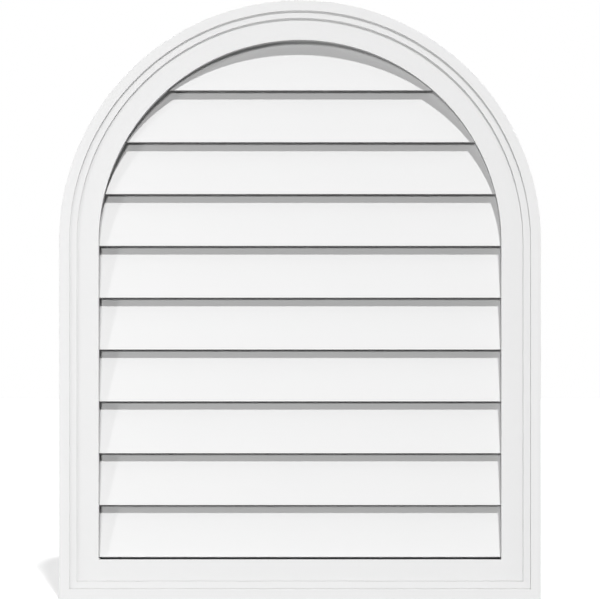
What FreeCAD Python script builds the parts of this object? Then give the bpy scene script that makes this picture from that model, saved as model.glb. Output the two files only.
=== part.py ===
import FreeCAD, Part
import math
import os
import Sketcher

# Gable vent with a half-round top: a mitred frame of stepped moulding, ten sloping louvers let into
# grooves in the frame, and an insect screen stapled into a rabbet on the wall side.
# X runs to the right as seen from in front, Z up and Y into the wall. The wall is the plane Y = 0,
# and the origin is on it, in the middle of the bottom edge.

# Driving dimensions, in millimetres apart from the counts: name, value, what it sets.
DRIVING_DIMENSIONS = [
    ("overall_width", 612.8, "outside width of the frame"),
    ("overall_height", 762.0, "outside height, up to the crown of the arch"),
    ("frame_width", 50.0, "face width of the moulding"),
    ("projection", 38.1, "how far the moulding stands out from the wall"),
    ("lip_width", 13.0, "outermost and proudest band of the moulding"),
    ("bead_width", 9.4, "second band of the moulding"),
    ("step_depth", 2.4, "drop from each band to the next"),
    ("edge_bevel", 0.6, "eased front edges of the moulding"),
    ("louver_count", 10, "louvers in the opening"),
    ("louver_thickness", 6.35, "thickness of a louver board"),
    ("louver_overlap", 9.0, "how far a louver rises behind the lip of the one above"),
    ("louver_recess", 6.7, "how far the lips lie behind the innermost band"),
    ("louver_bevel", 0.5, "eased edges of a louver"),
    ("crown_allowance", 2.3, "how far the louvers' even spacing runs past the crown"),
    ("rail_gap", 2.6, "open line between the lowest lip and the bottom rail"),
    ("sill_wall", 4.0, "wall left at the front of the bottom rail's top"),
    ("sill_drop", 6.0, "how far the bottom rail is cut down behind that wall"),
    ("back_gap", 6.0, "space between the louvers and the screen"),
    ("groove_depth", 6.35, "how far the louver grooves go into the frame"),
    ("groove_clearance", 0.15, "glue space round a louver in its groove"),
    ("end_clearance", 0.3, "glue space at the end of a louver"),
    ("rabbet_depth", 2.2, "sinking for the screen in the back of the frame"),
    ("screen_landing", 14.0, "how far the screen lies on the frame"),
    ("screen_clearance", 1.0, "space round the edge of the screen"),
    ("screen_thickness", 0.9, "thickness of the screen, two wires deep"),
    ("strand_width", 2.0, "width of a strand of the screen"),
    ("strand_columns", 9, "gaps across the screen"),
    ("strand_rows", 12, "gaps up the screen"),
    ("staple_crown", 9.5, "outside width of a staple"),
    ("staple_wire", 0.9, "thickness of the staple wire"),
    ("staple_leg", 8.0, "length of a staple leg under the crown"),
    ("staple_bend", 0.4, "outside corners of a staple's bends"),
    ("staple_inset", 10.0, "from the opening's edge to the line of staples"),
    ("staple_spacing", 75.0, "from one staple to the next, at most about this"),
]

# An eased edge takes at most this share of the wall that it is on.
BEVEL_SHARE = 0.45

HALF_TURN = 180.0
QUARTER_TURN = 90.0

doc = FreeCAD.newDocument("gable_vent")


class Size:
    """A length, angle or share: its number, and the sheet expression that a feature is bound to."""

    def __init__(self, value, text):
        self.value = value
        self.text = text

    def __add__(self, other):
        return Size(self.value + other.value, f"({self.text} + {other.text})")

    def __sub__(self, other):
        return Size(self.value - other.value, f"({self.text} - {other.text})")

    def __neg__(self):
        return Size(-self.value, f"(-{self.text})")

    def __mul__(self, other):
        factor = other if isinstance(other, Size) else Size(other, str(other))
        return Size(self.value * factor.value, f"({self.text} * {factor.text})")

    def __truediv__(self, other):
        divisor = other if isinstance(other, Size) else Size(other, str(other))
        return Size(self.value / divisor.value, f"({self.text} / {divisor.text})")


def smaller(first, second):
    return Size(min(first.value, second.value), f"min({first.text}; {second.text})")


def angle_of(rise_over_run):
    return Size(math.degrees(math.atan(rise_over_run.value)), f"atan({rise_over_run.text})")


def sine(angle):
    return Size(math.sin(math.radians(angle.value)), f"sin({angle.text})")


def cosine(angle):
    return Size(math.cos(math.radians(angle.value)), f"cos({angle.text})")


def fill_sheet():
    """Writes the driving dimensions to the document's sheet and returns each as a size."""
    sheet = doc.addObject("Spreadsheet::Sheet", "dims")
    sizes = {}
    for row, (name, value, note) in enumerate(DRIVING_DIMENSIONS, start=1):
        sheet.set(f"A{row}", name)
        sheet.set(f"B{row}", str(value))
        sheet.set(f"C{row}", note)
        sheet.setAlias(f"B{row}", name)
        sizes[name] = Size(value, f"dims.{name}")
    doc.recompute()
    return sizes


dims = fill_sheet()
frame_width = dims["frame_width"]
projection = dims["projection"]
step_depth = dims["step_depth"]
thickness = dims["louver_thickness"]
rabbet_depth = dims["rabbet_depth"]
screen_thickness = dims["screen_thickness"]
wire = dims["staple_wire"]

# Outline of the frame: straight sides up to the spring line, then a half circle.
half_width = dims["overall_width"] / 2
spring = dims["overall_height"] - half_width
opening_half = half_width - frame_width
opening_height = dims["overall_height"] - frame_width * 2

# Distances out from the wall.
bead_front = projection - step_depth
flat_front = bead_front - step_depth
lip_out = flat_front - dims["louver_recess"]
screen_back = rabbet_depth - screen_thickness

# The louvers are evenly spaced, and each leans back from its lip towards the screen.
pitch = (opening_height - dims["rail_gap"] + dims["crown_allowance"]) / dims["louver_count"]
louver_rise = pitch + dims["louver_overlap"]
louver_run = lip_out - rabbet_depth - dims["back_gap"] - thickness
lean = angle_of(louver_run / louver_rise)
louver_length = louver_rise / cosine(lean)
groove_half = opening_half + dims["groove_depth"]

# The screen lies on a landing all round the opening.
screen_half = opening_half + dims["screen_landing"]
screen_bottom = frame_width - dims["screen_landing"]


def bind(feature, name, size):
    feature.setExpression(name, size.text)


def number(size):
    return 0.0 if size is None else size.value


def new_body(name):
    return doc.addObject("PartDesign::Body", name)


def origin_plane(body, role):
    return next(plane for plane in body.Origin.OriginFeatures if plane.Role == role)


def new_sketch(body, name, role, lift=None):
    """A sketch on one of the body's own planes, lifted off it along the plane's normal if asked."""
    sketch = body.newObject("Sketcher::SketchObject", name)
    sketch.AttachmentSupport = [(origin_plane(body, role), "")]
    sketch.MapMode = "FlatFace"
    if lift is not None:
        bind(sketch, "AttachmentOffset.Base.z", lift)
    return sketch


def hold(sketch, kind, geometry, point, size):
    """Keeps a point at a bound distance from the sketch's origin, or on its axis where size is None."""
    if size is None:
        axis = -2 if kind == "DistanceX" else -1
        sketch.addConstraint(Sketcher.Constraint("PointOnObject", geometry, point, axis))
        return
    index = sketch.addConstraint(Sketcher.Constraint(kind, -1, 1, geometry, point, size.value))
    bind(sketch, f"Constraints[{index}]", size)


def set_radius(sketch, arc, size):
    index = sketch.addConstraint(Sketcher.Constraint("Radius", arc, size.value))
    bind(sketch, f"Constraints[{index}]", size)


def set_span(sketch, kind, line, forward, size):
    """Keeps the width or height that a line spans."""
    first, second = (1, 2) if forward else (2, 1)
    index = sketch.addConstraint(Sketcher.Constraint(kind, line, first, line, second, size.value))
    bind(sketch, f"Constraints[{index}]", size)


def draw_outline(sketch, corners):
    """Closed outline of level and upright lines. A corner is across, up and its bevel or None."""
    points = [FreeCAD.Vector(number(across), number(up), 0) for across, up, bevel in corners]
    cuts = [number(bevel) for across, up, bevel in corners]
    count = len(corners)
    ways = [(points[(i + 1) % count] - points[i]).normalize() for i in range(count)]
    lines = []
    for i in range(count):
        begin = points[i] + ways[i] * cuts[i]
        end = points[(i + 1) % count] - ways[i] * cuts[(i + 1) % count]
        line = sketch.addGeometry(Part.LineSegment(begin, end), False)
        upright = abs(ways[i].y) > abs(ways[i].x)
        sketch.addConstraint(Sketcher.Constraint("Vertical" if upright else "Horizontal", line))
        hold(sketch, "DistanceX" if upright else "DistanceY", line, 1, corners[i][0 if upright else 1])
        lines.append(line)
    for i, (across, up, bevel) in enumerate(corners):
        before = lines[i - 1]
        after = lines[i]
        if bevel is None:
            sketch.addConstraint(Sketcher.Constraint("Coincident", before, 2, after, 1))
            continue
        begin = points[i] - ways[i - 1] * cuts[i]
        end = points[i] + ways[i] * cuts[i]
        slant = sketch.addGeometry(Part.LineSegment(begin, end), False)
        sketch.addConstraint(Sketcher.Constraint("Coincident", before, 2, slant, 1))
        sketch.addConstraint(Sketcher.Constraint("Coincident", slant, 2, after, 1))
        set_span(sketch, "DistanceX", slant, end.x > begin.x, bevel)
        set_span(sketch, "DistanceY", slant, end.y > begin.y, bevel)


def draw_triangle(sketch, level_end, square_across, square_up, upright_end):
    """Right-angled triangle: its square corner, the end of its level side and of its upright side."""
    square = FreeCAD.Vector(number(square_across), number(square_up), 0)
    level = FreeCAD.Vector(number(level_end), square.y, 0)
    upright = FreeCAD.Vector(square.x, number(upright_end), 0)
    corners = [level, square, upright]
    for i in range(3):
        sketch.addGeometry(Part.LineSegment(corners[i], corners[(i + 1) % 3]), False)
    for i in range(3):
        sketch.addConstraint(Sketcher.Constraint("Coincident", i, 2, (i + 1) % 3, 1))
    sketch.addConstraint(Sketcher.Constraint("Horizontal", 0))
    sketch.addConstraint(Sketcher.Constraint("Vertical", 1))
    hold(sketch, "DistanceX", 0, 1, level_end)
    hold(sketch, "DistanceX", 1, 1, square_across)
    hold(sketch, "DistanceY", 1, 1, square_up)
    hold(sketch, "DistanceY", 1, 2, upright_end)


def draw_round_top(sketch, half, bottom):
    """Outline of the vent's own shape: a level bottom, upright sides and a half circle on top."""
    low = bottom.value
    top = spring.value
    side = half.value
    corner = FreeCAD.Vector
    circle = Part.Circle(corner(0, top, 0), corner(0, 0, 1), side)
    base = sketch.addGeometry(Part.LineSegment(corner(-side, low, 0), corner(side, low, 0)), False)
    right = sketch.addGeometry(Part.LineSegment(corner(side, low, 0), corner(side, top, 0)), False)
    arch = sketch.addGeometry(Part.ArcOfCircle(circle, 0, math.pi), False)
    left = sketch.addGeometry(Part.LineSegment(corner(-side, top, 0), corner(-side, low, 0)), False)
    sketch.addConstraint(Sketcher.Constraint("Coincident", base, 2, right, 1))
    sketch.addConstraint(Sketcher.Constraint("Coincident", left, 2, base, 1))
    sketch.addConstraint(Sketcher.Constraint("Tangent", right, 2, arch, 1))
    sketch.addConstraint(Sketcher.Constraint("Tangent", arch, 2, left, 1))
    sketch.addConstraint(Sketcher.Constraint("Horizontal", base))
    sketch.addConstraint(Sketcher.Constraint("Vertical", right))
    sketch.addConstraint(Sketcher.Constraint("Vertical", left))
    hold(sketch, "DistanceX", arch, 3, None)
    hold(sketch, "DistanceY", arch, 3, spring)
    hold(sketch, "DistanceY", base, 1, bottom)
    set_radius(sketch, arch, half)


def pad(body, name, sketch, length, symmetric=False):
    feature = body.newObject("PartDesign::Pad", name)
    feature.Profile = sketch
    feature.SideType = "Symmetric" if symmetric else "One side"
    bind(feature, "Length", length)
    return feature


def pocket_through(body, name, sketch):
    """Cuts the sketch right through the body, both ways from its plane."""
    feature = body.newObject("PartDesign::Pocket", name)
    feature.Profile = sketch
    feature.Type = "ThroughAll"
    feature.SideType = "Symmetric"
    return feature


def boolean(kind, name, base, tool):
    """A cut or a common of two objects."""
    feature = doc.addObject(f"Part::{kind}", name)
    feature.Base = base
    feature.Tool = tool
    feature.Refine = True
    return feature


def group(name, members):
    """Several objects as one, to be cut away together."""
    feature = doc.addObject("Part::Compound", name)
    feature.Links = members
    return feature


def moulding_section(place):
    """Corners of the moulding. place turns a distance in from the outer edge and one out from the
    wall, either of them None for nought, into sketch coordinates."""
    edge = smaller(dims["edge_bevel"], step_depth * BEVEL_SHARE)
    lip = dims["lip_width"]
    bead = lip + dims["bead_width"]
    rabbet = frame_width - dims["screen_landing"] - dims["screen_clearance"]
    corners = [
        (None, None, None),
        (None, projection, edge),
        (lip, projection, edge),
        (lip, bead_front, None),
        (bead, bead_front, edge),
        (bead, flat_front, None),
        (frame_width, flat_front, edge),
        (frame_width, rabbet_depth, None),
        (rabbet, rabbet_depth, None),
        (rabbet, None, None),
    ]
    return [(*place(across, out), bevel) for across, out, bevel in corners]


def on_left_side(across, out):
    """Seen from above at the left side: X from the middle of the vent, Y into the wall."""
    return (-half_width if across is None else across - half_width), (None if out is None else -out)


def on_bottom(across, out):
    """Seen along the bottom: Y into the wall, Z up."""
    return (None if out is None else -out), across


def make_jamb_blank():
    """Left upright of the frame, square at the spring line and mitred at the bottom."""
    body = new_body("jamb_blank")
    section = new_sketch(body, "jamb_section", "XY_Plane")
    draw_outline(section, moulding_section(on_left_side))
    pad(body, "jamb_length", section, spring)
    mitre = new_sketch(body, "jamb_mitre", "XZ_Plane")
    draw_triangle(mitre, -half_width, -opening_half, None, frame_width)
    pocket_through(body, "jamb_mitre_cut", mitre)
    return body


def make_arch_blank():
    """Half-round head of the frame: the moulding's section turned about the middle of the arch."""
    body = new_body("arch_blank")
    section = new_sketch(body, "arch_section", "XY_Plane", lift=spring)
    draw_outline(section, moulding_section(on_left_side))
    turn = body.newObject("PartDesign::Revolution", "arch_turn")
    turn.Profile = section
    turn.ReferenceAxis = (section, ["V_Axis"])
    turn.Angle = HALF_TURN
    return body


def make_rail_blank():
    """Bottom of the frame, mitred at both ends."""
    body = new_body("rail_blank")
    section = new_sketch(body, "rail_section", "YZ_Plane")
    draw_outline(section, moulding_section(on_bottom))
    pad(body, "rail_length", section, dims["overall_width"], symmetric=True)
    mitre = new_sketch(body, "rail_mitre", "XZ_Plane")
    draw_triangle(mitre, -opening_half, -half_width, frame_width, None)
    cut = pocket_through(body, "rail_mitre_cut", mitre)
    both = body.newObject("PartDesign::Mirrored", "rail_mitres")
    both.Originals = [cut]
    both.MirrorPlane = (origin_plane(body, "YZ_Plane"), [""])
    body.Tip = both
    return body


def make_sill_cut():
    """Block that takes the top off the bottom rail behind its front wall, as wide as the opening."""
    reach = flat_front - dims["sill_wall"]
    block = doc.addObject("Part::Box", "sill_cut")
    bind(block, "Length", opening_half * 2)
    bind(block, "Width", reach)
    bind(block, "Height", dims["sill_drop"])
    bind(block, "Placement.Base.x", -opening_half)
    bind(block, "Placement.Base.y", -reach)
    bind(block, "Placement.Base.z", frame_width - dims["sill_drop"])
    return block


def make_round_top(name, half, bottom, length, lift=None):
    """Block in the vent's own shape. It stands across the wall plane, or in front of lift."""
    body = new_body(name)
    outline = new_sketch(body, f"{name}_outline", "XZ_Plane", lift)
    draw_round_top(outline, half, bottom)
    pad(body, f"{name}_length", outline, length, symmetric=lift is None)
    return body


def lip_height(index):
    return frame_width + dims["rail_gap"] + pitch * index


def lean_back(feature, back, up):
    """Leans a piece back about its own lip, and sets that lip at a distance in and up."""
    feature.Placement.Rotation = FreeCAD.Rotation(FreeCAD.Vector(1, 0, 0), -lean.value)
    bind(feature, "Placement.Rotation.Angle", -lean)
    bind(feature, "Placement.Base.y", back)
    bind(feature, "Placement.Base.z", up)


def make_louver_blank(index):
    """Louver board before its ends are cut to the opening, with the front of its lip as its origin."""
    edge = smaller(dims["louver_bevel"], thickness * BEVEL_SHARE)
    body = new_body(f"louver_blank_{index:02d}")
    section = new_sketch(body, f"louver_section_{index:02d}", "YZ_Plane")
    corners = [
        (None, None, edge),
        (thickness, None, edge),
        (thickness, louver_length, edge),
        (None, louver_length, edge),
    ]
    draw_outline(section, corners)
    pad(body, f"louver_length_{index:02d}", section, groove_half * 2, symmetric=True)
    lean_back(body, -lip_out, lip_height(index))
    return body


def make_groove_blank(index):
    """Straight slot a little larger all round than a louver board, to be cut to the groove's depth."""
    spare = dims["groove_clearance"]
    block = doc.addObject("Part::Box", f"groove_blank_{index:02d}")
    bind(block, "Length", groove_half * 2)
    bind(block, "Width", thickness + spare * 2)
    bind(block, "Height", louver_length + spare * 2)
    bind(block, "Placement.Base.x", -groove_half)
    back = -lip_out - spare * cosine(lean) - spare * sine(lean)
    up = lip_height(index) + spare * sine(lean) - spare * cosine(lean)
    lean_back(block, back, up)
    return block


def make_staple_pattern():
    """One wire staple. Its crown lies along X with its back at Y = 0, and its legs point to -Y."""
    body = new_body("staple_pattern")
    section = new_sketch(body, "staple_section", "XY_Plane")
    half = dims["staple_crown"] / 2
    inside = half - wire
    foot = -(wire + dims["staple_leg"])
    bend = smaller(dims["staple_bend"], wire * BEVEL_SHARE)
    corners = [
        (-half, None, bend),
        (-half, foot, None),
        (-inside, foot, None),
        (-inside, -wire, None),
        (inside, -wire, None),
        (inside, foot, None),
        (half, foot, None),
        (half, None, bend),
    ]
    draw_outline(section, corners)
    pad(body, "staple_width", section, wire, symmetric=True)
    doc.recompute()
    return body


def spaced(start, end):
    """Evenly spaced places from start to end, half a space in from both."""
    count = max(1, round(abs(end - start) / dims["staple_spacing"].value))
    step = (end - start) / count
    return [start + step * (i + 0.5) for i in range(count)]


def staple_places():
    """Where the staples go, as X, Z and a turn about Y: up both sides, along the bottom, round the arch."""
    inset = dims["staple_inset"].value
    side = opening_half.value + inset
    low = frame_width.value
    top = spring.value
    places = [(x, low - inset, 0.0) for x in spaced(-opening_half.value, opening_half.value)]
    for z in spaced(low, top):
        places.append((-side, z, QUARTER_TURN))
        places.append((side, z, QUARTER_TURN))
    for distance in spaced(0.0, math.pi * side):
        angle = distance / side
        turn = -(math.degrees(angle) + QUARTER_TURN)
        places.append((side * math.cos(angle), top + side * math.sin(angle), turn))
    return places


def make_staples():
    """All the staples as separate solids, with their crowns on the back of the screen."""
    pattern = make_staple_pattern()
    crown_back = wire.value - screen_back.value
    upright = FreeCAD.Vector(0, 1, 0)
    solids = []
    for x, z, turn in staple_places():
        solid = pattern.Shape.Solids[0].copy()
        place = FreeCAD.Placement(FreeCAD.Vector(x, crown_back, z), FreeCAD.Rotation(upright, turn))
        solid.Placement = place.multiply(solid.Placement)
        solids.append(solid)
    staples = doc.addObject("Part::Feature", "screen_staples")
    staples.Shape = Part.makeCompound(solids)
    return staples


def make_strand(name, upright, place):
    """Bar right through the screen where a strand is left, centred on a place across it or up it."""
    half_strand = dims["strand_width"] / 2
    block = doc.addObject("Part::Box", name)
    bind(block, "Width", projection * 4)
    bind(block, "Placement.Base.y", -(projection * 2))
    if upright:
        bind(block, "Length", dims["strand_width"])
        bind(block, "Height", dims["overall_height"])
        bind(block, "Placement.Base.x", place - half_strand)
    else:
        bind(block, "Length", dims["overall_width"])
        bind(block, "Height", dims["strand_width"])
        bind(block, "Placement.Base.x", -half_width)
        bind(block, "Placement.Base.z", place - half_strand)
    return block


def make_screen_gaps():
    """The gaps between the screen's strands: the opening's shape, parted by the strands both ways."""
    columns = dims["strand_columns"]
    rows = dims["strand_rows"]
    uprights = []
    for i in range(1, int(columns.value)):
        place = opening_half * 2 / columns * i - opening_half
        uprights.append(make_strand(f"upright_strand_{i:02d}", True, place))
    levels = []
    for i in range(1, int(rows.value)):
        place = frame_width + opening_height / rows * i
        levels.append(make_strand(f"level_strand_{i:02d}", False, place))
    opening = make_round_top("screen_opening", opening_half, frame_width, projection * 2)
    lanes = boolean("Cut", "screen_lanes", opening, group("upright_strands", uprights))
    return boolean("Cut", "screen_gaps", lanes, group("level_strands", levels))


def make_screen(staples):
    """Screen with a plain hem where it lies on the frame, crossing strands, and the staples' holes."""
    sheet = make_round_top("screen_sheet", screen_half, screen_bottom, screen_thickness, screen_back)
    cutter = group("screen_cutter", [make_screen_gaps(), staples])
    return boolean("Cut", "insect_screen", sheet, cutter)


def make_louvers():
    """The louvers, each cut to the shape of the opening and its grooves."""
    reach = groove_half - dims["end_clearance"]
    envelope = make_round_top("louver_envelope", reach, frame_width, projection * 2)
    louvers = []
    for index in range(int(dims["louver_count"].value)):
        louvers.append(boolean("Common", f"louver_{index + 1:02d}", make_louver_blank(index), envelope))
    return louvers


def make_frame(staples):
    """The four frame pieces, with the louvers' grooves and the holes that the staples' legs fill."""
    count = int(dims["louver_count"].value)
    blanks = group("groove_blanks", [make_groove_blank(index) for index in range(count)])
    envelope = make_round_top("groove_envelope", groove_half, frame_width, projection * 2)
    grooves = boolean("Common", "louver_grooves", blanks, envelope)
    cutter = group("frame_cutter", [grooves, staples])
    left = boolean("Cut", "left_jamb", make_jamb_blank(), cutter)
    arch = boolean("Cut", "arch_head", make_arch_blank(), cutter)
    rail_cutter = group("rail_cutter", [make_sill_cut(), staples])
    rail = boolean("Cut", "bottom_rail", make_rail_blank(), rail_cutter)
    right = doc.addObject("Part::Mirroring", "right_jamb")
    right.Source = left
    right.Normal = FreeCAD.Vector(1, 0, 0)
    return [arch, left, right, rail]


def check_document():
    """Stops where any object failed to build or any solid is missing or faulty."""
    for item in doc.Objects:
        if "Invalid" in item.State or "Error" in item.State:
            raise RuntimeError(f"{item.Name} did not build: {item.State}")
    for item in nodes:
        if item.Shape.isNull() or not item.Shape.isValid() or not item.Shape.Solids:
            raise RuntimeError(f"{item.Label} has no sound solid")


def check_mitres():
    """Stops where a mitre took nothing off: each end loses a prism of half a square."""
    jamb = doc.getObject("jamb_blank").Shape.Volume
    rail = doc.getObject("rail_blank").Shape.Volume
    jamb_before = doc.getObject("jamb_length").Shape.Volume
    rail_before = doc.getObject("rail_length").Shape.Volume
    if jamb >= jamb_before or rail >= rail_before - (jamb_before - jamb):
        raise RuntimeError("a mitre cut nothing")


def write_parts():
    os.makedirs("parts", exist_ok=True)
    for item in nodes:
        item.Shape.exportStep(f"parts/{item.Label}.step")


screen_staples = make_staples()
nodes = make_frame(screen_staples) + make_louvers() + [make_screen(screen_staples), screen_staples]
doc.recompute()
check_document()
check_mitres()
write_parts()
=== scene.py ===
import math

import bmesh
import bpy
from mathutils import Matrix, Vector


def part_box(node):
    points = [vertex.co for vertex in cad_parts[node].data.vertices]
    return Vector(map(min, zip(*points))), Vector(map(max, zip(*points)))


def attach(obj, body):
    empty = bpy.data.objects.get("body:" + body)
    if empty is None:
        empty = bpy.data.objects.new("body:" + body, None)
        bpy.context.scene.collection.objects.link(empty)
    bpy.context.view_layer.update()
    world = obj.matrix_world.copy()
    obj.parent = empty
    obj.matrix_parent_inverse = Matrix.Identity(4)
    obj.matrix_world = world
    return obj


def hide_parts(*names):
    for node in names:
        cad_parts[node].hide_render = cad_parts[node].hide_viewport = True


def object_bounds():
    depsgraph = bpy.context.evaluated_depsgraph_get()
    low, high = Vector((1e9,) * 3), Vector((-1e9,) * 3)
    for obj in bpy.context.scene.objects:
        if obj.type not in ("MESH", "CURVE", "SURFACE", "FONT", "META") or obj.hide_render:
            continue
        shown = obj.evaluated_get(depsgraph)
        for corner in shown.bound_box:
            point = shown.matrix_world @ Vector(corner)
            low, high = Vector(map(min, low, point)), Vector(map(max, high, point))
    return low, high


# Looks of a half-round-top gable vent: white cellular PVC mouldings and louvers, and a welded wire
# screen stapled to the back. Metres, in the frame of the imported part: X to the right, Y into the
# wall, Z up from the bottom edge.

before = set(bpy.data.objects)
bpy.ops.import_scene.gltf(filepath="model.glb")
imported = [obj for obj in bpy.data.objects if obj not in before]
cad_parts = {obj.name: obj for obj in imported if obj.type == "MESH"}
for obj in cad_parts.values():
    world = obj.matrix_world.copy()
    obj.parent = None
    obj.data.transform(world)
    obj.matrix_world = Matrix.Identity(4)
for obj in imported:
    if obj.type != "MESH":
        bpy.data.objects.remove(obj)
cad_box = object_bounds()

MM = 0.001
INCH = 25.4 * MM
HALF_TURN = math.pi
QUARTER_TURN = HALF_TURN / 2

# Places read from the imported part.
VENT_LOW, VENT_HIGH = (Vector(corner) for corner in cad_box)
MIDDLE = (VENT_LOW + VENT_HIGH) / 2
FRONT = VENT_LOW.y
HALF_WIDTH = VENT_HIGH.x
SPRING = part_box("arch_head")[0].z
FRAME_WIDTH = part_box("bottom_rail")[1].z
SCREEN_LOW, SCREEN_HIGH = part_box("insect_screen")
OPENING_HALF = HALF_WIDTH - FRAME_WIDTH

# The moulding's section: three bands that step down from the outer edge to the opening, with
# rounded front edges, and a rabbet for the screen behind. The bottom rail is cut down behind a wall
# at the front of its top.
LIP_WIDTH = 13.0 * MM
BEAD_WIDTH = 9.4 * MM
STEP_DEPTH = 2.4 * MM
RABBET_CLEARANCE = 1.0 * MM
SILL_WALL = 4.0 * MM
SILL_DROP = 6.0 * MM
EDGE_ROUND = 0.35 * MM
EDGE_SEGMENTS = 4
ARCH_STEPS = 120
# An edge that turns by more than this is shaded sharp.
SHARP_ANGLE = math.radians(32)
# Straight lengths of moulding start this much too long, before they are mitred.
MITRE_SPARE = 10.0 * MM

# Welded wire cloth, eight wires to the inch each way, one layer of wires on the other, in a plain
# steel hem that lies on the frame and grips the ends of the wires. The hem's dark colour is painted
# shade: seen through the slot under the lowest louver, it darkens that slot.
WIRE_SPACING = INCH / 8
WIRE = (SCREEN_HIGH.y - SCREEN_LOW.y) / 2
WIRE_SIDES = 6
HEM_WIDTH = SCREEN_HIGH.x - OPENING_HALF
HEM_GRIP = 1.0 * MM
# The screen's materials are its wire's and then its hem's.
HEM_MATERIAL = 1

# How deep the grain of a surface is at a strength of 1, and the value that noise varies about.
GRAIN_DEPTH = 0.1 * MM
NOISE_MIDDLE = 0.5

# The photograph is square, and the vent's front face fills its height but for a hair. It was taken
# from a hair below the middle.
VIEW_HEIGHT = 763.0 * MM
VIEW_DROP = 0.15 * MM
VIEW_DISTANCE = 3.0
SENSOR = 36.0

# Far lamps: name, degrees to the right of straight in front, degrees up, strength, how wide the lamp
# looks in degrees, how often its light is thrown back, and what it lights. A wider lamp throws softer
# shadows. Half of the key light is not thrown back at all, so that the lines under the louvers stay
# dark. The louvers are filled in from above and the frame from below, which softens its undersides.
# A wide lamp high up shades each louver softly under the lip above it, and one behind lights the back.
FAR_LAMPS = [
    ("key_lamp", 11.0, 51.2, 1.11, 3.0, 0, "all"),
    ("key_glow", 11.0, 51.2, 1.11, 3.0, 1, "all"),
    ("louver_fill", -9.0, 13.5, 1.2, 11.0, 0, "all but the frame"),
    ("frame_fill", 3.0, -25.0, 1.19, 11.0, 1, "the frame"),
    ("low_right_fill", 75.0, -15.0, 0.35, 20.0, 0, "the frame"),
    ("low_left_fill", -75.0, -15.0, 0.2, 20.0, 0, "the frame"),
    ("top_fill", 0.0, 75.0, 0.38, 30.0, 0, "all"),
    ("back_fill", 155.0, 4.0, 2.2, 30.0, 0, "all"),
]
# One small lamp stands near, up to the left, and lights that side a little more than the other.
LEFT_FILL = Vector((-1.6, -0.93, 0.55))
LEFT_FILL_POWER = 4.2
LEFT_FILL_WIDTH = 0.12

# A white room that gives a faint light, and a pale floor that glows as much as makes it white.
ROOM_COLOR = (1.0, 1.0, 1.0, 1.0)
ROOM_LIGHT = 0.03
FLOOR_COLOR = (0.8, 0.8, 0.8, 1.0)
FLOOR_GLOW = 0.52
FLOOR_SIZE = 12.0


def add_node(tree, kind, inputs=(), **settings):
    """Adds a node, with its settings and the values of its named or numbered inputs."""
    node = tree.nodes.new(kind)
    for name, value in settings.items():
        setattr(node, name, value)
    for name, value in dict(inputs).items():
        node.inputs[name].default_value = value
    return node


def link(tree, output, target):
    """Links a node's output to another node's input."""
    tree.links.new(output, target)


def new_material(name):
    """A material with no nodes yet."""
    material = bpy.data.materials.new(name)
    material.use_nodes = True
    material.node_tree.nodes.clear()
    return material


def new_group(name, inputs, outputs):
    """An empty node group with named sockets, and its input and output nodes."""
    group = bpy.data.node_groups.new(name, "ShaderNodeTree")
    for socket, kind in inputs:
        group.interface.new_socket(socket, in_out="INPUT", socket_type=kind)
    for socket, kind in outputs:
        group.interface.new_socket(socket, in_out="OUTPUT", socket_type=kind)
    return group, group.nodes.new("NodeGroupInput"), group.nodes.new("NodeGroupOutput")


def make_skin_group():
    """Fine unevenness of a made surface: a slow change of tone, patches of gloss and a fine grain."""
    inputs = [
        ("Color", "NodeSocketColor"),
        ("Tone Change", "NodeSocketFloat"),
        ("Roughness", "NodeSocketFloat"),
        ("Gloss Change", "NodeSocketFloat"),
        ("Patch Scale", "NodeSocketFloat"),
        ("Grain Scale", "NodeSocketFloat"),
    ]
    outputs = [
        ("Color", "NodeSocketColor"),
        ("Roughness", "NodeSocketFloat"),
        ("Height", "NodeSocketFloat"),
    ]
    group, given, result = new_group("made_surface", inputs, outputs)
    place = add_node(group, "ShaderNodeTexCoord")
    patches = add_node(group, "ShaderNodeTexNoise", {"Detail": 3.0, "Roughness": 0.55})
    grain = add_node(group, "ShaderNodeTexNoise", {"Detail": 2.0, "Roughness": 0.6})
    centred = add_node(group, "ShaderNodeMath", {1: NOISE_MIDDLE}, operation="SUBTRACT")
    tone = add_node(group, "ShaderNodeMath", operation="MULTIPLY")
    lightness = add_node(group, "ShaderNodeMath", {1: 1.0}, operation="ADD")
    shade = add_node(group, "ShaderNodeVectorMath", operation="SCALE")
    gloss = add_node(group, "ShaderNodeMath", operation="MULTIPLY_ADD")
    for noise, scale in ((patches, "Patch Scale"), (grain, "Grain Scale")):
        link(group, place.outputs["Object"], noise.inputs["Vector"])
        link(group, given.outputs[scale], noise.inputs["Scale"])
    link(group, patches.outputs["Fac"], centred.inputs[0])
    link(group, centred.outputs[0], tone.inputs[0])
    link(group, given.outputs["Tone Change"], tone.inputs[1])
    link(group, tone.outputs[0], lightness.inputs[0])
    link(group, given.outputs["Color"], shade.inputs["Vector"])
    link(group, lightness.outputs[0], shade.inputs["Scale"])
    link(group, shade.outputs["Vector"], result.inputs["Color"])
    link(group, centred.outputs[0], gloss.inputs[0])
    link(group, given.outputs["Gloss Change"], gloss.inputs[1])
    link(group, given.outputs["Roughness"], gloss.inputs[2])
    link(group, gloss.outputs[0], result.inputs["Roughness"])
    link(group, grain.outputs["Fac"], result.inputs["Height"])
    return group


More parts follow.
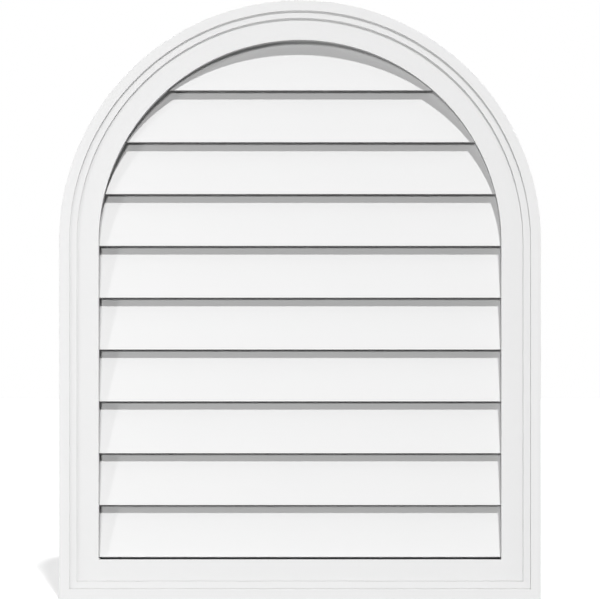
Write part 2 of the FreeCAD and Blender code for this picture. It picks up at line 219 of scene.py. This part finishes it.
def make_finish(name, skin, surface, shader, relief):
    """A material whose shader takes its colour, roughness and relief from the skin group."""
    material = new_material(name)
    tree = material.node_tree
    made = add_node(tree, "ShaderNodeGroup", node_tree=skin)
    for socket, value in surface.items():
        made.inputs[socket].default_value = value
    bump = add_node(tree, "ShaderNodeBump", {"Strength": relief, "Distance": GRAIN_DEPTH})
    principled = add_node(tree, "ShaderNodeBsdfPrincipled", shader)
    output = add_node(tree, "ShaderNodeOutputMaterial")
    link(tree, made.outputs["Color"], principled.inputs["Base Color"])
    link(tree, made.outputs["Roughness"], principled.inputs["Roughness"])
    link(tree, made.outputs["Height"], bump.inputs["Height"])
    link(tree, bump.outputs["Normal"], principled.inputs["Normal"])
    link(tree, principled.outputs["BSDF"], output.inputs["Surface"])
    return material


def make_moulding_white(skin):
    """Smooth satin white of the frame's mouldings."""
    surface = {
        "Color": (0.9, 0.9, 0.9, 1.0),
        "Tone Change": 0.02,
        "Roughness": 0.6,
        "Gloss Change": 0.15,
        "Patch Scale": 14.0,
        "Grain Scale": 900.0,
    }
    shader = {"Specular IOR Level": 0.05}
    return make_finish("moulding_white", skin, surface, shader, relief=0.08)


def make_board_white(skin):
    """White of the louver boards, a shade deeper and a little less even."""
    surface = {
        "Color": (0.87, 0.87, 0.87, 1.0),
        "Tone Change": 0.025,
        "Roughness": 0.62,
        "Gloss Change": 0.2,
        "Patch Scale": 9.0,
        "Grain Scale": 700.0,
    }
    shader = {"Specular IOR Level": 0.05}
    return make_finish("board_white", skin, surface, shader, relief=0.1)


def make_metal(name, skin, color, roughness):
    """A bare metal, mottled in tone and gloss."""
    surface = {
        "Color": color,
        "Tone Change": 0.5,
        "Roughness": roughness,
        "Gloss Change": 0.3,
        "Patch Scale": 160.0,
        "Grain Scale": 2500.0,
    }
    shader = {"Metallic": 1.0}
    return make_finish(name, skin, surface, shader, relief=0.2)


def make_zinc_wire(skin):
    """Galvanised wire of the screen."""
    return make_metal("zinc_wire", skin, color=(0.55, 0.56, 0.58, 1.0), roughness=0.42)


def make_hem_painted_slot_shade(skin):
    """Dull steel of the screen's hem, coloured dark as painted shade for the slot under the lowest
    louver.
    """
    return make_metal("hem_steel_painted_slot_shade", skin, color=(0.14, 0.14, 0.15, 1.0), roughness=0.55)


def make_bright_staple(skin):
    """Brighter wire of the staples."""
    return make_metal("bright_staple", skin, color=(0.66, 0.67, 0.69, 1.0), roughness=0.42)


def add_object(name, mesh, materials):
    """Makes a finished mesh an object with its materials."""
    data = bpy.data.meshes.new(name)
    mesh.to_mesh(data)
    mesh.free()
    for material in materials:
        data.materials.append(material)
    made = bpy.data.objects.new(name, data)
    bpy.context.collection.objects.link(made)
    return made


def add_piece(name, mesh, materials, node):
    """Makes a finished mesh a piece of the vent that stands for a node."""
    piece = add_object(name, mesh, materials)
    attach(piece, "root")
    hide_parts(node)
    return piece


def shade_smooth(piece):
    """Shades a piece smooth over its rounded edges and keeps its square steps sharp."""
    for face in piece.data.polygons:
        face.use_smooth = True
    piece.data.set_sharp_from_angle(angle=SHARP_ANGLE)
    weigh = piece.modifiers.new("even_shading", "WEIGHTED_NORMAL")
    weigh.keep_sharp = True


def moulding_section(mesh, sill_drop=0.0):
    """The moulding's section as one face, at the left end of the spring line, with rounded front edges.
    sill_drop is how much of its inner side is cut away behind the front wall."""
    screen_edge = HALF_WIDTH - SCREEN_HIGH.x - RABBET_CLEARANCE
    bead_front = FRONT + STEP_DEPTH
    flat_front = bead_front + STEP_DEPTH
    bead_end = LIP_WIDTH + BEAD_WIDTH
    # Each corner's way in from the outer edge, its place out from the wall, and whether it is rounded.
    corners = [
        (0.0, 0.0, False),
        (0.0, FRONT, True),
        (LIP_WIDTH, FRONT, True),
        (LIP_WIDTH, bead_front, False),
        (bead_end, bead_front, True),
        (bead_end, flat_front, False),
        (FRAME_WIDTH, flat_front, True),
    ]
    inner_side = FRAME_WIDTH - sill_drop
    if sill_drop:
        wall_back = flat_front + SILL_WALL
        corners += [(FRAME_WIDTH, wall_back, False), (inner_side, wall_back, False)]
    corners += [
        (inner_side, SCREEN_LOW.y, False),
        (screen_edge, SCREEN_LOW.y, False),
        (screen_edge, 0.0, False),
    ]
    points = [mesh.verts.new((inward - HALF_WIDTH, out, SPRING)) for inward, out, rounded in corners]
    mesh.faces.new(points)
    front_edges = [point for point, (inward, out, rounded) in zip(points, corners) if rounded]
    bmesh.ops.bevel(
        mesh, geom=front_edges, offset=EDGE_ROUND, offset_type="OFFSET", segments=EDGE_SEGMENTS,
        profile=0.5, affect="VERTICES", material=-1,
    )


def whole(mesh):
    """All of a mesh, for an operator to work on."""
    return mesh.verts[:] + mesh.edges[:] + mesh.faces[:]


def extrude_section(mesh, way):
    """Draws the faces of a flat section out along a way, into a closed solid."""
    grown = bmesh.ops.extrude_face_region(mesh, geom=mesh.faces[:])["geom"]
    end = [item for item in grown if isinstance(item, bmesh.types.BMVert)]
    bmesh.ops.translate(mesh, verts=end, vec=way)


def mitre(mesh, corner, away):
    """Cuts a moulding off along a slanting plane through a corner of the frame and closes the cut."""
    cut = bmesh.ops.bisect_plane(
        mesh, geom=whole(mesh), plane_co=corner, plane_no=away, clear_outer=True
    )
    edges = [item for item in cut["geom_cut"] if isinstance(item, bmesh.types.BMEdge)]
    bmesh.ops.edgeloop_fill(mesh, edges=edges)


def finish_moulding(mesh, node, material):
    """Makes a moulding's mesh the piece that stands for a node of the frame."""
    bmesh.ops.recalc_face_normals(mesh, faces=mesh.faces[:])
    piece = add_piece(f"{node}_moulding", mesh, [material], node)
    shade_smooth(piece)
    return piece


def make_arch(material):
    """Half-round head: the section swung over from the left side to the right."""
    mesh = bmesh.new()
    moulding_section(mesh)
    bmesh.ops.spin(
        mesh, geom=whole(mesh), cent=(0, 0, SPRING), axis=(0, 1, 0), angle=HALF_TURN, steps=ARCH_STEPS,
        use_merge=False,
    )
    return finish_moulding(mesh, "arch_head", material)


def make_jamb(node, side, material):
    """Upright, square at the spring line and mitred at the bottom. side is -1 at the left and 1 at
    the right."""
    mesh = bmesh.new()
    moulding_section(mesh)
    extrude_section(mesh, (0, 0, -SPRING - MITRE_SPARE))
    mitre(mesh, (-HALF_WIDTH, 0, 0), (1, 0, -1))
    if side > 0:
        bmesh.ops.scale(mesh, vec=(-1, 1, 1), verts=mesh.verts[:])
    return finish_moulding(mesh, node, material)


def make_rail(material):
    """Bottom of the frame: the section turned to lie along the bottom edge, mitred at both ends."""
    mesh = bmesh.new()
    moulding_section(mesh, SILL_DROP)
    bmesh.ops.translate(mesh, verts=mesh.verts[:], vec=(HALF_WIDTH, 0, -SPRING))
    turn = Matrix.Rotation(-QUARTER_TURN, 3, "Y")
    bmesh.ops.rotate(mesh, cent=(0, 0, 0), matrix=turn, verts=mesh.verts[:])
    start = -HALF_WIDTH - MITRE_SPARE
    bmesh.ops.translate(mesh, verts=mesh.verts[:], vec=(start, 0, 0))
    extrude_section(mesh, (-2 * start, 0, 0))
    mitre(mesh, (-HALF_WIDTH, 0, 0), (-1, 0, 1))
    mitre(mesh, (HALF_WIDTH, 0, 0), (1, 0, 1))
    return finish_moulding(mesh, "bottom_rail", material)


def add_hem(mesh):
    """Flat band all round the screen, from its outer edge to the opening."""
    for side in (-1, 1):
        mesh.verts.new((side * SCREEN_HIGH.x, SCREEN_LOW.y, SCREEN_LOW.z))
    spring_end = mesh.verts.new((SCREEN_HIGH.x, SCREEN_LOW.y, SPRING))
    bmesh.ops.spin(
        mesh, geom=[spring_end], cent=(0, 0, SPRING), axis=(0, -1, 0), angle=HALF_TURN, steps=ARCH_STEPS,
        use_merge=False,
    )
    sheet = mesh.faces.new(mesh.verts[:])
    # A new face has no normal yet, and the inset needs one.
    sheet.normal_update()
    bmesh.ops.inset_individual(mesh, faces=[sheet], thickness=HEM_WIDTH, use_even_offset=True)
    bmesh.ops.delete(mesh, geom=[sheet], context="FACES_ONLY")
    extrude_section(mesh, (0, SCREEN_HIGH.y - SCREEN_LOW.y, 0))
    bmesh.ops.recalc_face_normals(mesh, faces=mesh.faces[:])
    for face in mesh.faces:
        face.material_index = HEM_MATERIAL


def add_wire(mesh, start, end):
    """One straight wire of the screen."""
    run = end - start
    turn = run.to_track_quat("Z", "Y").to_matrix().to_4x4()
    place = Matrix.Translation((start + end) / 2) @ turn
    bmesh.ops.create_cone(
        mesh, cap_ends=True, segments=WIRE_SIDES, radius1=WIRE / 2, radius2=WIRE / 2, depth=run.length,
        matrix=place,
    )


def spaced(low, high):
    """Evenly spaced places about the middle of a span, at least half a wire in from its ends."""
    count = int((high - low - WIRE) / WIRE_SPACING)
    first = (low + high - count * WIRE_SPACING) / 2
    return [first + i * WIRE_SPACING for i in range(count + 1)]


def make_screen(wire, hem):
    """Hemmed wire cloth cut to the vent's shape, with its upright wires towards the louvers."""
    mesh = bmesh.new()
    add_hem(mesh)
    radius = OPENING_HALF + HEM_GRIP
    bottom = FRAME_WIDTH - HEM_GRIP
    near = SCREEN_LOW.y + WIRE / 2
    far = SCREEN_HIGH.y - WIRE / 2
    for x in spaced(-OPENING_HALF, OPENING_HALF):
        top = SPRING + math.sqrt(radius ** 2 - x ** 2)
        add_wire(mesh, Vector((x, near, bottom)), Vector((x, near, top)))
    for z in spaced(FRAME_WIDTH, SPRING + OPENING_HALF):
        rise = max(z - SPRING, 0.0)
        reach = math.sqrt(radius ** 2 - rise ** 2)
        add_wire(mesh, Vector((-reach, far, z)), Vector((reach, far, z)))
    add_piece("insect_screen_cloth", mesh, [wire, hem], "insect_screen")


def dress_node(node, material):
    """Gives a piece that stays as it was packed its finish."""
    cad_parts[node].data.materials[0] = material


def seen_rays(tree):
    """1 where a ray comes from the camera, a reflection or something clear, and otherwise 0."""
    path = add_node(tree, "ShaderNodeLightPath")
    either = add_node(tree, "ShaderNodeMath", operation="MAXIMUM")
    any_of = add_node(tree, "ShaderNodeMath", operation="MAXIMUM")
    link(tree, path.outputs["Is Camera Ray"], either.inputs[0])
    link(tree, path.outputs["Is Glossy Ray"], either.inputs[1])
    link(tree, either.outputs[0], any_of.inputs[0])
    link(tree, path.outputs["Is Transmission Ray"], any_of.inputs[1])
    return any_of.outputs[0]


def make_pale_floor():
    """Finish of the floor: it shows the vent's shadow on white, and lets the low lamps' light through."""
    material = new_material("pale_floor")
    tree = material.node_tree
    lit = add_node(tree, "ShaderNodeBsdfDiffuse", {"Color": FLOOR_COLOR})
    glow = add_node(tree, "ShaderNodeEmission", {"Strength": FLOOR_GLOW})
    surface = add_node(tree, "ShaderNodeAddShader")
    clear = add_node(tree, "ShaderNodeBsdfTransparent")
    shown = add_node(tree, "ShaderNodeMixShader")
    output = add_node(tree, "ShaderNodeOutputMaterial")
    link(tree, lit.outputs["BSDF"], surface.inputs[0])
    link(tree, glow.outputs["Emission"], surface.inputs[1])
    link(tree, seen_rays(tree), shown.inputs["Fac"])
    link(tree, clear.outputs["BSDF"], shown.inputs[1])
    link(tree, surface.outputs["Shader"], shown.inputs[2])
    link(tree, shown.outputs["Shader"], output.inputs["Surface"])
    return material


def make_floor():
    """Level floor that the vent stands on."""
    mesh = bmesh.new()
    bmesh.ops.create_grid(mesh, x_segments=1, y_segments=1, size=FLOOR_SIZE / 2)
    bmesh.ops.translate(mesh, verts=mesh.verts[:], vec=(0, 0, VENT_LOW.z))
    floor = add_object("floor", mesh, [make_pale_floor()])


def make_world():
    """White to the eye, and a faint light from all round."""
    world = bpy.data.worlds.new("white_studio")
    world.use_nodes = True
    tree = world.node_tree
    tree.nodes.clear()
    strength = add_node(tree, "ShaderNodeMapRange", {"To Min": ROOM_LIGHT, "To Max": 1.0})
    light = add_node(tree, "ShaderNodeBackground", {"Color": ROOM_COLOR})
    output = add_node(tree, "ShaderNodeOutputWorld")
    link(tree, seen_rays(tree), strength.inputs["Value"])
    link(tree, strength.outputs["Result"], light.inputs["Strength"])
    link(tree, light.outputs["Background"], output.inputs["Surface"])
    bpy.context.scene.world = world


def lit_group(name, pieces, state):
    """Pieces that some lamps light alone or leave out."""
    group = bpy.data.collections.new(name)
    for piece in pieces:
        group.objects.link(piece)
    for entry in group.collection_objects:
        entry.light_linking.link_state = state
    return group


def place_lamp(lamp, place, way, bounces, lit=None):
    """Sets a lamp up at a place, shining against a way. lit is the group that it lights or leaves out."""
    lamp.cycles.max_bounces = bounces
    holder = bpy.data.objects.new(lamp.name, lamp)
    holder.location = place
    holder.rotation_euler = way.to_track_quat("Z", "Y").to_euler()
    holder.light_linking.receiver_collection = lit
    bpy.context.collection.objects.link(holder)


def lamp_way(right, up):
    """The way from the vent to a far lamp, from its degrees to the right and up."""
    turn = math.radians(right)
    rise = math.radians(up)
    level = math.cos(rise)
    return Vector((level * math.sin(turn), -level * math.cos(turn), math.sin(rise)))


def make_far_lamps(mouldings):
    """Lamps so far off that their light falls the same way all over the vent."""
    lit = {
        "all": None,
        "the frame": lit_group("frame_lit_alone", mouldings, "INCLUDE"),
        "all but the frame": lit_group("frame_left_out", mouldings, "EXCLUDE"),
    }
    for name, right, up, strength, width, bounces, lights in FAR_LAMPS:
        lamp = bpy.data.lights.new(name, "SUN")
        lamp.energy = strength
        lamp.angle = math.radians(width)
        way = lamp_way(right, up)
        place_lamp(lamp, MIDDLE + way * VIEW_DISTANCE, way, bounces, lit[lights])


def make_left_fill():
    """Small round lamp near the vent, turned to its middle."""
    lamp = bpy.data.lights.new("left_fill", "AREA")
    lamp.shape = "DISK"
    lamp.size = LEFT_FILL_WIDTH
    lamp.energy = LEFT_FILL_POWER
    place_lamp(lamp, LEFT_FILL, LEFT_FILL - MIDDLE, bounces=1)


def make_camera():
    """Level camera straight in front of the vent."""
    camera = bpy.data.cameras.new("camera")
    camera.sensor_width = SENSOR
    camera.lens = SENSOR * VIEW_DISTANCE / VIEW_HEIGHT
    holder = bpy.data.objects.new("camera", camera)
    holder.location = (0, FRONT - VIEW_DISTANCE, MIDDLE.z - VIEW_DROP)
    holder.rotation_euler = (QUARTER_TURN, 0, 0)
    bpy.context.collection.objects.link(holder)
    bpy.context.scene.camera = holder


skin = make_skin_group()
moulding_white = make_moulding_white(skin)
board_white = make_board_white(skin)
mouldings = [
    make_arch(moulding_white),
    make_jamb("left_jamb", -1, moulding_white),
    make_jamb("right_jamb", 1, moulding_white),
    make_rail(moulding_white),
]
# The hem's dark colour is painted shade for the slot under the lowest louver.
make_screen(make_zinc_wire(skin), make_hem_painted_slot_shade(skin))
dress_node("screen_staples", make_bright_staple(skin))
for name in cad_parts:
    if name.startswith("louver_"):
        dress_node(name, board_white)

make_floor()
make_world()
make_far_lamps(mouldings)
make_left_fill()
make_camera()
bpy.context.scene.view_settings.view_transform = "Standard"
